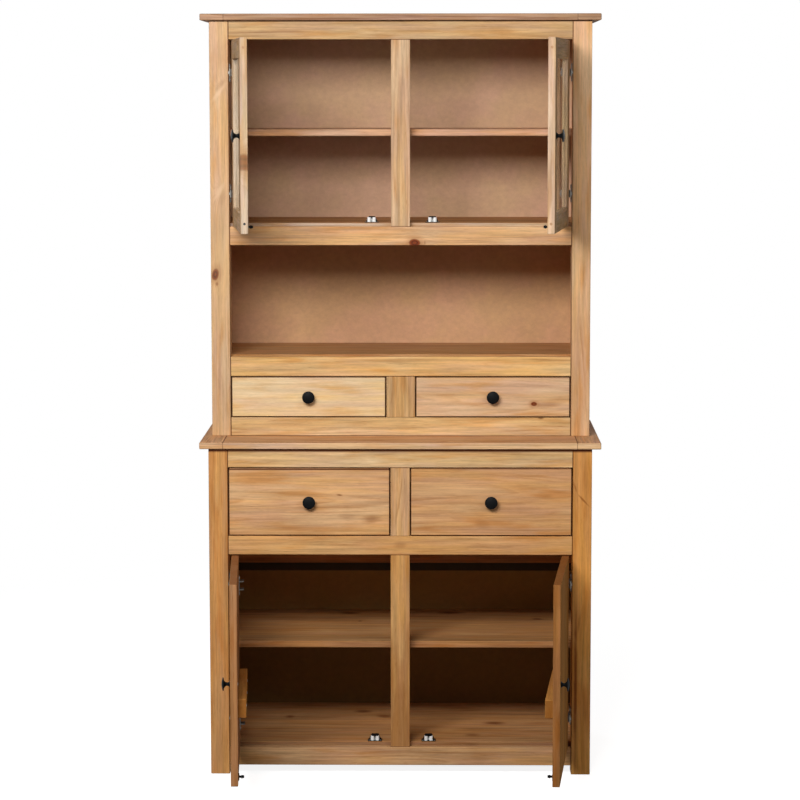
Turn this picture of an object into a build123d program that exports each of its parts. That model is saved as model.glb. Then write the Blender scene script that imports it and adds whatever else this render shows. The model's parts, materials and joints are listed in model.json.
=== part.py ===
from build123d import *

import os
from collections import namedtuple
from math import cos, radians, sin

# A two-part pine dresser: a sideboard with two drawers over two board doors, and a hutch
# on top of it with two glazed doors, an open niche and two shallow drawers.
# Millimetres, +Z up, the front faces -Y. The origin is on the floor, midway across the
# space that the dresser takes with its doors standing open.

os.makedirs("parts", exist_ok=True)

# --- Driving dimensions -------------------------------------------------------------

case_width = 860  # across the outer faces of the posts, both units
lower_depth = 418  # leg front to case back
upper_depth = 305
post_width = 43
post_depth = 43
back_post_thickness = 18
rail_thickness = 18
rail_height = 42
stile_width = 43
side_panel_inset = 3  # of the panel's outer face from the posts' outer faces
back_panel_thickness = 4
back_panel_inset = 3  # of the panel's rear face from the case back
easing = 1.0  # chamfer on the arrises of the frame timber

# Heights of the sideboard, from the floor up.
foot_height = 21
lower_door_opening = 442
lower_drawer_opening = 156
worktop_thickness = 15
worktop_front_overhang = 8

# Heights of the hutch, from the worktop up.
upper_drawer_opening = 95
shelf_rail_height = 44
niche_height = 254
upper_door_opening = 420
top_thickness = 15
top_front_overhang = 12

top_side_overhang = 20  # worktop and hutch top
end_cleat_width = 53
top_rounding = 2.5
cleat_joint_easing = 0.6

# Boards inside the cases.
shelf_thickness = 15
shelf_setback = 34  # of a cabinet shelf from the case front
floor_rise = 8  # of a cabinet floor above its rail
niche_rise = 4.5
lower_shelf_height = 237.5  # of the shelf's top above the bottom rail
upper_shelf_height = 218.5  # of the shelf's top above the middle rail
fit_gap = 0.5  # between a loose shelf and what stands beside it
back_rail_drop = 46  # of the stretcher's top below the middle rail

# Shelf pins.
pin_radius = 2.5
pin_reach = 10
pin_margin = 30  # of the pins from the ends of the side panels
pin_gap = 0.2

# Drawers.
drawer_gap = 2.5  # round a drawer front
drawer_front_thickness = 16
drawer_side_gap = 3  # between a drawer box and its opening
drawer_board_thickness = 12
drawer_bottom_thickness = 4
drawer_bottom_rise = 6
lower_box_height = 118
upper_box_height = 66
drawer_back_drop = 8  # of the box's back below its sides
box_back_gap = 14  # between a drawer box and the back panel
drawer_block_width = 65  # between the two upper drawers
drawer_block_recess = 3
runner_height = 22
runner_gap = 0.3
kicker_gap = 1.0
guide_height = 24

# Doors.
door_gap = 2.0
door_thickness = 16
door_stile_width = 43
glass_thickness = 3
glass_groove_depth = 6
glass_play = 0.2
batten_height = 40
batten_thickness = 18
batten_inset = 25  # of the batten's ends from the door's edges
batten_top = 184  # above the door's bottom edge
axis_inboard = 4.0  # of the swing axis from the post's inner face
axis_proud = 3.6  # of the swing axis from the door's outer face
lower_left_open_angle = 86.5  # of each door as it stands open, in degrees
lower_right_open_angle = 84.5
upper_left_open_angle = 83.0
upper_right_open_angle = 82.5

# Concealed hinges: a cup with two cheeks on the door, a plate with an arm on the post.
hinge_inset_lower = 65  # of a hinge from the door's end
hinge_inset_upper = 72
cup_radius = 13
cup_depth = 11
cup_edge_distance = 18
cup_play = 0.1
flange_width = 20
flange_height = 46
flange_corner = 5
flange_thickness = 1.5
cheek_start = 1.0
cheek_length = 23
cheek_thickness = 2
cheek_height = 10
arm_height = 15
arm_cheek_gap = 0.75
arm_reach = 14
plate_thickness = 2
plate_height = 40
plate_setback = 19  # of the plate and arm from the case front
arm_length = 21

# The pivot of each hinge: a knuckle on a strap from the plate, between two on the door's ears.
knuckle_radius = 2.4
knuckle_height = 6
knuckle_gap = 0.3  # between the post's knuckle and the door's
pivot_pin_radius = 1.2
pivot_play = 0.05
pivot_web = 1.6
strap_thickness = 0.8
ear_thickness = 0.8
ear_height = 4.7

# Roller catches on the cabinet floors and their spears on the doors.
lower_left_catch_offset = 58  # from the middle of the case
lower_right_catch_offset = 64
upper_left_catch_offset = 66
upper_right_catch_offset = 72
catch_setback = 20
catch_width = 32
catch_length = 22
catch_corner = 1.5
catch_base_thickness = 1.5
catch_hump_foot_width = 27
catch_hump_top_width = 15
catch_hump_length = 8
catch_hump_height = 14
catch_hump_rounding = 2
catch_cap_thickness = 1.1
roller_radius = 4.1
roller_height = 10.5
roller_gap = 3.2
roller_setback = 26
roller_pin_radius = 1.5
roller_play = 0.1
stop_thickness = 2.5
stop_width = 14
stop_height = 9
spear_height = 7  # of its middle above the cabinet floor
spear_plate_width = 20
spear_plate_height = 12  # stays above the floor board, which it faces when the door is shut
spear_plate_thickness = 2
spear_neck_width = 1.6
spear_neck_height = 5
spear_head_width = 2.4
spear_head_height = 8
spear_reach = 12.5
spear_head_length = 6

# Turned knobs: how far out each ring of the profile is, and its radius.
knob_foot = (0.6, 8.0)
knob_flare = (2.9, 5.0)
knob_waist = (8.0, 3.8)
knob_underside = (11.8, 6.6)
knob_rim_back = (13.7, 12.65)
knob_rim = (14.6, 14.25)
knob_rim_front = (15.8, 13.35)
knob_height = 18.5
knob_inset = 21.5  # of a door knob from the door's free edge

# --- Derived planes -----------------------------------------------------------------

post_outer = case_width / 2
post_inner = post_outer - post_width
panel_outer = post_outer - side_panel_inset
back_post_inner = post_outer - back_post_thickness
panel_inner = back_post_inner  # the sides are flush inside
stile_half = stile_width / 2
block_half = drawer_block_width / 2
top_half_width = post_outer + top_side_overhang
top_field_half = top_half_width - end_cleat_width

door_width = post_inner - stile_half - 2 * door_gap
hinge_edge = door_gap - axis_inboard  # along the door, from the swing axis
lower_open = radians(lower_left_open_angle)
lower_reach = (
    axis_proud + (hinge_edge + door_width) * sin(lower_open) - axis_proud * cos(lower_open)
)

back_y = (lower_depth + lower_reach) / 2
lower_front = back_y - lower_depth
upper_front = back_y - upper_depth
back_panel_rear = back_y - back_panel_inset
interior_back = back_panel_rear - back_panel_thickness
back_post_front = back_y - post_depth

bottom_rail_top = foot_height + rail_height
middle_rail_base = bottom_rail_top + lower_door_opening
middle_rail_top = middle_rail_base + rail_height
top_rail_base = middle_rail_top + lower_drawer_opening
worktop_base = top_rail_base + rail_height
worktop_top = worktop_base + worktop_thickness

hutch_bottom_rail_top = worktop_top + rail_height
shelf_rail_base = hutch_bottom_rail_top + upper_drawer_opening
shelf_rail_top = shelf_rail_base + shelf_rail_height
hutch_middle_rail_base = shelf_rail_top + niche_height
hutch_middle_rail_top = hutch_middle_rail_base + rail_height
hutch_top_rail_base = hutch_middle_rail_top + upper_door_opening
top_base = hutch_top_rail_base + rail_height
top_top = top_base + top_thickness

lower_floor_top = bottom_rail_top + floor_rise
upper_floor_top = hutch_middle_rail_top + floor_rise
niche_shelf_top = shelf_rail_top + niche_rise
lower_shelf_top = bottom_rail_top + lower_shelf_height
upper_shelf_top = hutch_middle_rail_top + upper_shelf_height


# --- Helpers ------------------------------------------------------------------------


def save(name, *pieces):
    """Writes a node: one solid, or a group of separate ones."""
    node = pieces[0] if len(pieces) == 1 else Compound(children=list(pieces))
    node.label = name
    export_step(node, f"parts/{name}.step")


def board(x, y, z, eased=easing):
    """A board between three pairs of planes, with its arrises eased."""
    with BuildPart() as piece:
        with BuildSketch(Plane.XY.offset(z[0])):
            with Locations(((x[0] + x[1]) / 2, (y[0] + y[1]) / 2)):
                Rectangle(x[1] - x[0], y[1] - y[0])
        extrude(amount=z[1] - z[0])
        if eased:
            chamfer(piece.edges(), eased)
    return piece.part


def both_sides(x, y, z, eased=easing):
    """The same board at the right and at the left of the case."""
    return [board(x, y, z, eased), board((-x[1], -x[0]), y, z, eased)]


def spanning_board(front, setback, half_width, z):
    """A board that fills the case behind its front, cut round the front posts."""
    behind_posts = front + post_depth
    with BuildPart() as piece:
        with BuildSketch(Plane.XY.offset(z[0])):
            with Locations((0, (behind_posts + interior_back) / 2)):
                Rectangle(2 * half_width, interior_back - behind_posts)
            with Locations((0, (front + setback + behind_posts) / 2)):
                Rectangle(2 * (half_width - panel_inner + post_inner), behind_posts - front - setback)
        extrude(amount=z[1] - z[0])
        chamfer(piece.edges().filter_by(Axis.X), easing)
    return piece.part


# --- Sideboard case -----------------------------------------------------------------


def rounded_top(x, y, z, ends):
    """A top board or end cleat: every outer edge rounded, the joint to its neighbour eased."""
    with BuildPart() as piece:
        with BuildSketch(Plane.XY.offset(z[0])):
            with Locations(((x[0] + x[1]) / 2, (y[0] + y[1]) / 2)):
                Rectangle(x[1] - x[0], y[1] - y[0])
        extrude(amount=z[1] - z[0])
        fillet(piece.faces().sort_by(Axis.Y)[0].edges().filter_by(Axis.X), top_rounding)
        for end in (0, -1):
            face = piece.faces().sort_by(Axis.X)[end]
            if end in ends:
                fillet(face.edges(), top_rounding)
            else:
                chamfer(face.edges().sort_by(Axis.Z)[-1], cleat_joint_easing)
    return piece.part


def clad_top(name, front, z):
    """A top of a field with its grain along X between two end cleats."""
    depth = (front, back_y)
    save(name, rounded_top((-top_field_half, top_field_half), depth, z, []))
    save(
        name + "_end_cleats",
        rounded_top((-top_half_width, -top_field_half), depth, z, [0]),
        rounded_top((top_field_half, top_half_width), depth, z, [-1]),
    )


def posts(name, front, z):
    """Two square front posts and two flat back posts."""
    save(
        name,
        *both_sides((post_inner, post_outer), (front, front + post_depth), z),
        *both_sides((back_post_inner, post_outer), (back_post_front, back_y), z),
    )


def side_panels(name, front, z):
    """Two board sides, each between a front and a back post."""
    depth = (front + post_depth, back_post_front)
    save(name, *both_sides((panel_inner, panel_outer), depth, z, 0))


def rail(name, front, z):
    """A rail between the front posts."""
    save(name, board((-post_inner, post_inner), (front, front + rail_thickness), z))


def stile(name, front, half_width, z, recess=0):
    """An upright between two rails, in the middle of the case."""
    depth = (front + recess, front + rail_thickness)
    save(name, board((-half_width, half_width), depth, z))


def back_panel(name, z):
    """A thin board let in between the back posts."""
    width = (-back_post_inner, back_post_inner)
    save(name, board(width, (interior_back, back_panel_rear), z, 0))


clad_top("worktop", lower_front - worktop_front_overhang, (worktop_base, worktop_top))
posts("lower_posts", lower_front, (0, worktop_base))
side_panels("lower_side_panels", lower_front, (foot_height, worktop_base))
rail("lower_bottom_rail", lower_front, (foot_height, bottom_rail_top))
rail("lower_middle_rail", lower_front, (middle_rail_base, middle_rail_top))
rail("lower_top_rail", lower_front, (top_rail_base, worktop_base))
stile("lower_door_stile", lower_front, stile_half, (bottom_rail_top, middle_rail_base))
stile("lower_drawer_stile", lower_front, stile_half, (middle_rail_top, top_rail_base))
back_panel("lower_back_panel", (foot_height, worktop_base))

stretcher_top = middle_rail_base - back_rail_drop
save(
    "lower_back_rail",
    board(
        (-back_post_inner, back_post_inner),
        (interior_back - rail_thickness, interior_back),
        (stretcher_top - rail_height, stretcher_top),
    ),
)
save(
    "lower_floor",
    spanning_board(
        lower_front, rail_thickness, panel_inner, (lower_floor_top - shelf_thickness, lower_floor_top)
    ),
)
save(
    "lower_shelf",
    spanning_board(
        lower_front,
        shelf_setback,
        panel_inner - fit_gap,
        (lower_shelf_top - shelf_thickness, lower_shelf_top),
    ),
)

# --- Hutch case ---------------------------------------------------------------------

clad_top("hutch_top", upper_front - top_front_overhang, (top_base, top_top))
posts("upper_posts", upper_front, (worktop_top, top_base))
side_panels("upper_side_panels", upper_front, (worktop_top, top_base))
rail("upper_bottom_rail", upper_front, (worktop_top, hutch_bottom_rail_top))
rail("upper_shelf_rail", upper_front, (shelf_rail_base, shelf_rail_top))
rail("upper_middle_rail", upper_front, (hutch_middle_rail_base, hutch_middle_rail_top))
rail("upper_top_rail", upper_front, (hutch_top_rail_base, top_base))
stile("upper_door_stile", upper_front, stile_half, (hutch_middle_rail_top, hutch_top_rail_base))
stile(
    "upper_drawer_block",
    upper_front,
    block_half,
    (hutch_bottom_rail_top, shelf_rail_base),
    drawer_block_recess,
)
back_panel("upper_back_panel", (worktop_top, top_base))
save(
    "upper_floor",
    spanning_board(
        upper_front, rail_thickness, panel_inner, (upper_floor_top - shelf_thickness, upper_floor_top)
    ),
)
save(
    "niche_shelf",
    spanning_board(
        upper_front, rail_thickness, panel_inner, (niche_shelf_top - shelf_thickness, niche_shelf_top)
    ),
)
save(
    "upper_shelf",
    spanning_board(
        upper_front,
        shelf_setback,
        panel_inner - fit_gap,
        (upper_shelf_top - shelf_thickness, upper_shelf_top),
    ),
)


def shelf_pins():
    """Eight round pins that stand out of the side panels and carry the two loose shelves."""
    carried = [(lower_shelf_top, lower_front), (upper_shelf_top, upper_front)]
    with BuildPart() as pins:
        for shelf_top, front in carried:
            height = shelf_top - shelf_thickness - pin_gap - pin_radius
            for y in (front + post_depth + pin_margin, back_post_front - pin_margin):
                for side in (-1, 1):
                    foot = Plane(origin=(side * panel_inner, y, height), z_dir=(-side, 0, 0))
                    with BuildSketch(foot):
                        Circle(pin_radius)
                    extrude(amount=pin_reach)
    return pins.part


save("shelf_pins", shelf_pins())

# --- Drawers ------------------------------------------------------------------------


def turned_knob(base, outward):
    """A knob turned about the line through base along outward: flared foot, waist, domed disc."""
    up = Vector(0, 0, 1)
    with BuildPart() as piece:
        with BuildSketch(Plane(origin=base, x_dir=outward, z_dir=outward.cross(up))):
            with BuildLine():
                Polyline((0, 0), (0, knob_foot[1]), knob_foot)
                ThreePointArc(knob_foot, knob_flare, knob_waist)
                ThreePointArc(knob_waist, knob_underside, knob_rim_back)
                ThreePointArc(knob_rim_back, knob_rim, knob_rim_front)
                TangentArc((knob_height, 0), knob_rim_front, tangent=(0, 1))
                Line((knob_height, 0), (0, 0))
            make_face()
        revolve(axis=Axis(base, outward))
    return piece.part


Drawer = namedtuple("Drawer", "name side front bottom top inner_edge box_height")


def make_drawer(drawer):
    """One drawer: its front, a box of four boards and a bottom, and its knob."""
    low_x = drawer.inner_edge + drawer_gap
    high_x = post_inner - drawer_gap
    front_low = drawer.bottom + drawer_gap
    front_high = drawer.top - drawer_gap
    box_front = drawer.front + drawer_front_thickness
    box_back = interior_back - box_back_gap
    box_low_x = drawer.inner_edge + drawer_side_gap
    box_high_x = post_inner - drawer_side_gap
    inner_low_x = box_low_x + drawer_board_thickness
    inner_high_x = box_high_x - drawer_board_thickness
    bottom_base = front_low + drawer_bottom_rise
    bottom_top = bottom_base + drawer_bottom_thickness
    box_top = front_low + drawer.box_height
    side_z = (front_low, box_top)

    def placed(x, y, z, eased=0):
        mirrored = x if drawer.side > 0 else (-x[1], -x[0])
        return board(mirrored, y, z, eased)

    save(
        f"{drawer.name}_drawer_front",
        placed((low_x, high_x), (drawer.front, box_front), (front_low, front_high), easing),
    )
    inner_back = box_back - drawer_board_thickness
    save(
        f"{drawer.name}_drawer_box",
        placed((box_low_x, inner_low_x), (box_front, box_back), side_z),
        placed((inner_high_x, box_high_x), (box_front, box_back), side_z),
        placed(
            (inner_low_x, inner_high_x),
            (inner_back, box_back),
            (bottom_top, box_top - drawer_back_drop),
        ),
        placed((inner_low_x, inner_high_x), (box_front, box_back), (bottom_base, bottom_top)),
    )
    middle = Vector(
        drawer.side * (low_x + high_x) / 2, drawer.front, (front_low + front_high) / 2
    )
    save(f"{drawer.name}_drawer_knob", turned_knob(middle, Vector(0, -1, 0)))


lower_drawers = (lower_front, middle_rail_top, top_rail_base, stile_half, lower_box_height)
upper_drawers = (
    upper_front,
    hutch_bottom_rail_top,
    shelf_rail_base,
    block_half,
    upper_box_height,
)
for unit, (front, low, high, inner_edge, box_height) in (
    ("lower", lower_drawers),
    ("upper", upper_drawers),
):
    for hand, side in (("left", -1), ("right", 1)):
        make_drawer(Drawer(f"{unit}_{hand}", side, front, low, high, inner_edge, box_height))


def drawer_runners():
    """For each pair of drawers: outer and middle runners below, a middle guide and a kicker."""
    pieces = []
    for front, opening_base, opening_top, inner_edge, box_height in (lower_drawers, upper_drawers):
        runner_top = opening_base + drawer_gap - runner_gap
        runner_z = (runner_top - runner_height, runner_top)
        under_side = post_inner - drawer_side_gap - drawer_board_thickness
        behind_rail = (front + rail_thickness, interior_back)
        middle_half = inner_edge + drawer_side_gap + drawer_board_thickness
        box_top = opening_base + drawer_gap + box_height
        pieces += both_sides(
            (under_side, panel_inner), (front + post_depth, back_post_front), runner_z, 0
        )
        pieces.append(board((-middle_half, middle_half), behind_rail, runner_z, 0))
        guide_z = (runner_top, runner_top + guide_height)
        pieces.append(board((-inner_edge, inner_edge), behind_rail, guide_z, 0))
        kicker_z = (box_top + kicker_gap, opening_top + runner_height)
        pieces.append(board((-middle_half, middle_half), behind_rail, kicker_z, 0))
    return pieces


save("drawer_runners", *drawer_runners())

# --- Doors --------------------------------------------------------------------------

Door = namedtuple("Door", "name side front bottom height angle catch_offset hinge_inset")

lower_door = (lower_front, bottom_rail_top + door_gap, lower_door_opening - 2 * door_gap)
upper_door = (upper_front, hutch_middle_rail_top + door_gap, upper_door_opening - 2 * door_gap)
lower_doors = [
    Door(
        "lower_left",
        -1,
        *lower_door,
        lower_left_open_angle,
        lower_left_catch_offset,
        hinge_inset_lower,
    ),
    Door(
        "lower_right",
        1,
        *lower_door,
        lower_right_open_angle,
        lower_right_catch_offset,
        hinge_inset_lower,
    ),
]
upper_doors = [
    Door(
        "upper_left",
        -1,
        *upper_door,
        upper_left_open_angle,
        upper_left_catch_offset,
        hinge_inset_upper,
    ),
    Door(
        "upper_right",
        1,
        *upper_door,
        upper_right_open_angle,
        upper_right_catch_offset,
        hinge_inset_upper,
    ),
]


def leaf_frame(door):
    """The door's swing axis, and the directions along the leaf and inwards through it."""
    turn = radians(door.angle)
    axis = Vector(door.side * (post_inner - axis_inboard), door.front - axis_proud, door.bottom)
    along = Vector(-door.side * cos(turn), -sin(turn), 0)
    inward = Vector(-door.side * sin(turn), cos(turn), 0)
    return axis, along, inward


def leaf_point(door, distance, depth, height):
    """A point by its distance from the hinge edge, depth behind the outer face, and height."""
    axis, along, inward = leaf_frame(door)
    up = Vector(0, 0, 1)
    return axis + along * (hinge_edge + distance) + inward * (axis_proud + depth) + up * height


def leaf_plane(door, distance, depth, height):
    """A plane across the leaf: its X runs to the free edge, its normal points inwards."""
    _, along, inward = leaf_frame(door)
    return Plane(origin=leaf_point(door, distance, depth, height), x_dir=along, z_dir=inward)


def pivot_plane(door, along, height):
    """A level plane on the swing axis: its X runs along the leaf or the case front, its Y inwards."""
    axis, _, _ = leaf_frame(door)
    return Plane(origin=axis + Vector(0, 0, height), x_dir=along, z_dir=(0, 0, -door.side))


def leaf_board(door, distance, depth, height, eased=easing):
    """A board of the leaf between three pairs of distances."""
    middle = ((distance[0] + distance[1]) / 2, depth[0], (height[0] + height[1]) / 2)
    with BuildPart() as piece:
        with BuildSketch(leaf_plane(door, *middle)):
            Rectangle(distance[1] - distance[0], height[1] - height[0])
        extrude(amount=depth[1] - depth[0])
        if eased:
            chamfer(piece.edges(), eased)
    return piece.part


def hinge_heights(door):
    """Where the two hinges are, above the door's bottom edge."""
    return (door.hinge_inset, door.height - door.hinge_inset)


def with_cup_pockets(door, blank):
    """The board with a round pocket in its inner face for each hinge cup."""
    with BuildPart() as piece:
        add(blank)
        for height in hinge_heights(door):
            with BuildSketch(leaf_plane(door, cup_edge_distance, door_thickness, height)):
                Circle(cup_radius + cup_play)
            extrude(amount=-cup_depth - cup_play, mode=Mode.SUBTRACT)
    return piece.part


def rectangle_between(x, y):
    """A rectangle of the current sketch between two pairs of lines."""
    with Locations(((x[0] + x[1]) / 2, (y[0] + y[1]) / 2)):
        Rectangle(x[1] - x[0], y[1] - y[0])


def door_hinges(door):
    """The door's halves of two hinges: cup, flange, cheeks that straddle the arm, and pivot."""
    _, along, _ = leaf_frame(door)
    edge_x = (hinge_edge - ear_thickness, hinge_edge)
    inner_face_y = axis_proud + door_thickness
    flange_y = (inner_face_y, inner_face_y + flange_thickness)
    ear_offset = (knuckle_height + ear_height) / 2 + knuckle_gap
    with BuildPart() as hinges:
        for height in hinge_heights(door):
            for ear_middle in (height - ear_offset, height + ear_offset):
                with BuildSketch(pivot_plane(door, along, ear_middle)):
                    Circle(knuckle_radius)
                    rectangle_between((edge_x[0], 0), (-pivot_web / 2, pivot_web / 2))
                    rectangle_between(edge_x, (0, flange_y[1]))
                    rectangle_between((edge_x[0], hinge_edge + cup_edge_distance), flange_y)
                extrude(amount=ear_height / 2, both=True)
            with BuildSketch(pivot_plane(door, along, height)):
                Circle(pivot_pin_radius)
            extrude(amount=ear_offset, both=True)
            with BuildSketch(leaf_plane(door, cup_edge_distance, door_thickness, height)):
                Circle(cup_radius)
            extrude(amount=-cup_depth)
            with BuildSketch(leaf_plane(door, cup_edge_distance, door_thickness, height)):
                RectangleRounded(flange_width, flange_height, flange_corner)
            extrude(amount=flange_thickness)
            cheek_middle = cheek_start + cheek_length / 2
            cheek_offset = arm_height / 2 + arm_cheek_gap + cheek_thickness / 2
            with BuildSketch(leaf_plane(door, cheek_middle, door_thickness, height)):
                with Locations((0, -cheek_offset), (0, cheek_offset)):
                    Rectangle(cheek_length, cheek_thickness)
            extrude(amount=flange_thickness + cheek_height)
    return hinges.part


def knob_and_spear(door):
    """The door's black ironwork: a knob outside and, low down inside, the catch's spear."""
    knob_base = leaf_point(door, door_width - knob_inset, 0, door.height / 2)
    _, _, inward = leaf_frame(door)
    distance = post_inner - door_gap - door.catch_offset
    height = floor_rise - door_gap + spear_height
    neck_length = spear_reach - spear_head_length
    with BuildPart() as spear:
        with BuildSketch(leaf_plane(door, distance, door_thickness, height)):
            Rectangle(spear_plate_width, spear_plate_height)
        extrude(amount=spear_plate_thickness)
        with BuildSketch(leaf_plane(door, distance, door_thickness, height)):
            Rectangle(spear_neck_width, spear_neck_height)
        extrude(amount=neck_length)
        with BuildSketch(leaf_plane(door, distance, door_thickness + neck_length, height)):
            Rectangle(spear_head_width, spear_head_height)
        with BuildSketch(leaf_plane(door, distance, door_thickness + spear_reach, height)):
            Rectangle(spear_neck_width, spear_neck_height)
        loft()
    return [turned_knob(knob_base, inward * -1), spear.part]


def make_board_door(door):
    """A flat board door with a batten across its inner face."""
    blank = leaf_board(door, (0, door_width), (0, door_thickness), (0, door.height))
    save(f"{door.name}_door_panel", with_cup_pockets(door, blank))
    batten = leaf_board(
        door,
        (batten_inset, door_width - batten_inset),
        (door_thickness, door_thickness + batten_thickness),
        (batten_top - batten_height, batten_top),
    )
    save(f"{door.name}_door_batten", batten)


def grooved(door, blank, span):
    """The frame member with its share of the groove that holds the glass."""
    play = glass_play
    depth = (door_thickness - glass_thickness) / 2 - play
    distance, height = span
    with BuildPart() as piece:
        add(blank)
        middle = ((distance[0] + distance[1]) / 2, depth, (height[0] + height[1]) / 2)
        with BuildSketch(leaf_plane(door, *middle)):
            Rectangle(distance[1] - distance[0], height[1] - height[0])
        extrude(amount=glass_thickness + 2 * play, mode=Mode.SUBTRACT)
    return piece.part


def make_glazed_door(door):
    """A door of two stiles and two rails round a pane of glass."""
    width = door_stile_width
    outer = (0, door_width)
    full_height = (0, door.height)
    depth = (0, door_thickness)
    opening_x = (width, door_width - width)
    opening_z = (width, door.height - width)
    grow = glass_groove_depth
    groove = (
        (opening_x[0] - grow, opening_x[1] + grow),
        (opening_z[0] - grow, opening_z[1] + grow),
    )
    hinge_stile = with_cup_pockets(
        door, leaf_board(door, (outer[0], opening_x[0]), depth, full_height)
    )
    members = [
        hinge_stile,
        leaf_board(door, (opening_x[1], outer[1]), depth, full_height),
        leaf_board(door, opening_x, depth, (full_height[0], opening_z[0])),
        leaf_board(door, opening_x, depth, (opening_z[1], full_height[1])),
    ]
    save(f"{door.name}_door_frame", *[grooved(door, member, groove) for member in members])
    glass_front = (door_thickness - glass_thickness) / 2
    pane = leaf_board(
        door,
        (groove[0][0] + glass_play, groove[0][1] - glass_play),
        (glass_front, glass_front + glass_thickness),
        (groove[1][0] + glass_play, groove[1][1] - glass_play),
        0,
    )
    save(f"{door.name}_door_glass", pane)


for door in lower_doors:
    make_board_door(door)
for door in upper_doors:
    make_glazed_door(door)
for door in lower_doors + upper_doors:
    save(f"{door.name}_door_hinges", door_hinges(door))
    save(f"{door.name}_door_knob_and_spear", *knob_and_spear(door))

# --- Fittings fixed to the cases ----------------------------------------------------


def hinge_plates():
    """The posts' halves of the eight hinges: a plate with an arm, and a strap to the pivot."""
    post_face = -axis_inboard
    with BuildPart() as plates:
        for door in lower_doors + upper_doors:
            plate_y = (plate_setback + post_depth) / 2
            arm_y = plate_setback + arm_length / 2
            for height in hinge_heights(door):
                with BuildSketch(pivot_plane(door, Vector(-door.side, 0, 0), height)):
                    Circle(knuckle_radius)
                    rectangle_between((post_face, 0), (-pivot_web / 2, pivot_web / 2))
                    rectangle_between(
                        (post_face, post_face + strap_thickness),
                        (-pivot_web / 2, axis_proud + plate_setback + plate_thickness),
                    )
                    Circle(pivot_pin_radius + pivot_play, mode=Mode.SUBTRACT)
                extrude(amount=knuckle_height / 2, both=True)
                face = Plane(
                    origin=(door.side * post_inner, door.front, door.bottom + height),
                    x_dir=(0, 1, 0),
                    z_dir=(-door.side, 0, 0),
                )
                with BuildSketch(face):
                    with Locations((plate_y, 0)):
                        Rectangle(post_depth - plate_setback, plate_height)
                extrude(amount=plate_thickness)
                with BuildSketch(face):
                    with Locations((arm_y, 0)):
                        Rectangle(arm_length, arm_height)
                extrude(amount=plate_thickness + arm_reach)
    return plates.part


save("hinge_plates", hinge_plates())

catch_places = [
    (door.side * door.catch_offset, door.front, door.bottom - door_gap + floor_rise)
    for door in lower_doors + upper_doors
]
roller_offset = roller_gap / 2 + roller_radius
roller_spots = [(-roller_offset, 0), (roller_offset, 0)]
hump_setback = catch_setback + catch_length - catch_hump_length
cap_front = roller_setback - roller_radius


def catch_bodies():
    """Four catches: a base plate with a hump, and a cap from it over the two roller pins."""
    with BuildPart() as bodies:
        for x, front, floor in catch_places:
            base_top = floor + catch_base_thickness
            cap_base = base_top + roller_height + roller_play
            with BuildSketch(Plane.XY.offset(floor)):
                with Locations((x, front + catch_setback + catch_length / 2)):
                    RectangleRounded(catch_width, catch_length, catch_corner)
            extrude(amount=catch_base_thickness)
            hump_at = (x, front + hump_setback + catch_hump_length / 2)
            with BuildPart(mode=Mode.PRIVATE) as hump:
                with BuildSketch(Plane.XY.offset(base_top)):
                    with Locations(hump_at):
                        Rectangle(catch_hump_foot_width, catch_hump_length)
                with BuildSketch(Plane.XY.offset(floor + catch_hump_height)):
                    with Locations(hump_at):
                        Rectangle(catch_hump_top_width, catch_hump_length)
                loft()
                fillet(hump.faces().sort_by(Axis.Z)[-1].edges(), catch_hump_rounding)
            add(hump.part)
            with BuildSketch(Plane.XY.offset(cap_base)):
                half = catch_hump_top_width / 2
                cap_y = (front + cap_front, front + hump_setback + catch_hump_rounding)
                rectangle_between((x - half, x + half), cap_y)
            extrude(amount=catch_cap_thickness)
            with BuildSketch(Plane.XY.offset(base_top)):
                with Locations((x, front + roller_setback)):
                    with Locations(roller_spots):
                        Circle(roller_pin_radius)
            extrude(amount=roller_height + roller_play)
    return bodies.part


def catch_rollers():
    """Eight nylon rollers on the pins of the catches, and the nylon stops behind them."""
    with BuildPart() as rollers:
        for x, front, floor in catch_places:
            base_top = floor + catch_base_thickness
            with BuildSketch(Plane.XY.offset(base_top)):
                with Locations((x, front + roller_setback)):
                    with Locations(roller_spots):
                        Circle(roller_radius)
                        Circle(roller_pin_radius + roller_play, mode=Mode.SUBTRACT)
            extrude(amount=roller_height)
            with BuildSketch(Plane.XY.offset(base_top)):
                with Locations((x, front + hump_setback - stop_thickness / 2)):
                    Rectangle(stop_width, stop_thickness)
            extrude(amount=stop_height)
    return rollers.part


save("catch_bodies", catch_bodies())
save("catch_rollers", catch_rollers())
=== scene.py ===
import json
import math
import random

import bpy
from mathutils import Matrix, Vector


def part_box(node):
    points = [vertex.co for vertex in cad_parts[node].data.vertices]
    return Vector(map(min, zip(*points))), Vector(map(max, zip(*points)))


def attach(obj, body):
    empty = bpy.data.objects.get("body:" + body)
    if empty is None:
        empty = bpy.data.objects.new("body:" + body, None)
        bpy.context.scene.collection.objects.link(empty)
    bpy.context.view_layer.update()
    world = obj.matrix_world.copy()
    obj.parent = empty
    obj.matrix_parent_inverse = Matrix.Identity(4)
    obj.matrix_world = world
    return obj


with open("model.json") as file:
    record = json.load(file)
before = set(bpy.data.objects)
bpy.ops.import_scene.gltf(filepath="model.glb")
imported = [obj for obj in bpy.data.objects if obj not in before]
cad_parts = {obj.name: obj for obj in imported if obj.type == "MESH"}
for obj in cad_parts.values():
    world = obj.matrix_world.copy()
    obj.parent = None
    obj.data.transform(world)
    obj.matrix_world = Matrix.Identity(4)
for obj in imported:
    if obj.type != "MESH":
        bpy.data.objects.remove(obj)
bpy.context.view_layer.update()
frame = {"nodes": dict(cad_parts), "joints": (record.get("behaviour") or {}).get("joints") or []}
nodes = frame["nodes"]

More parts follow.
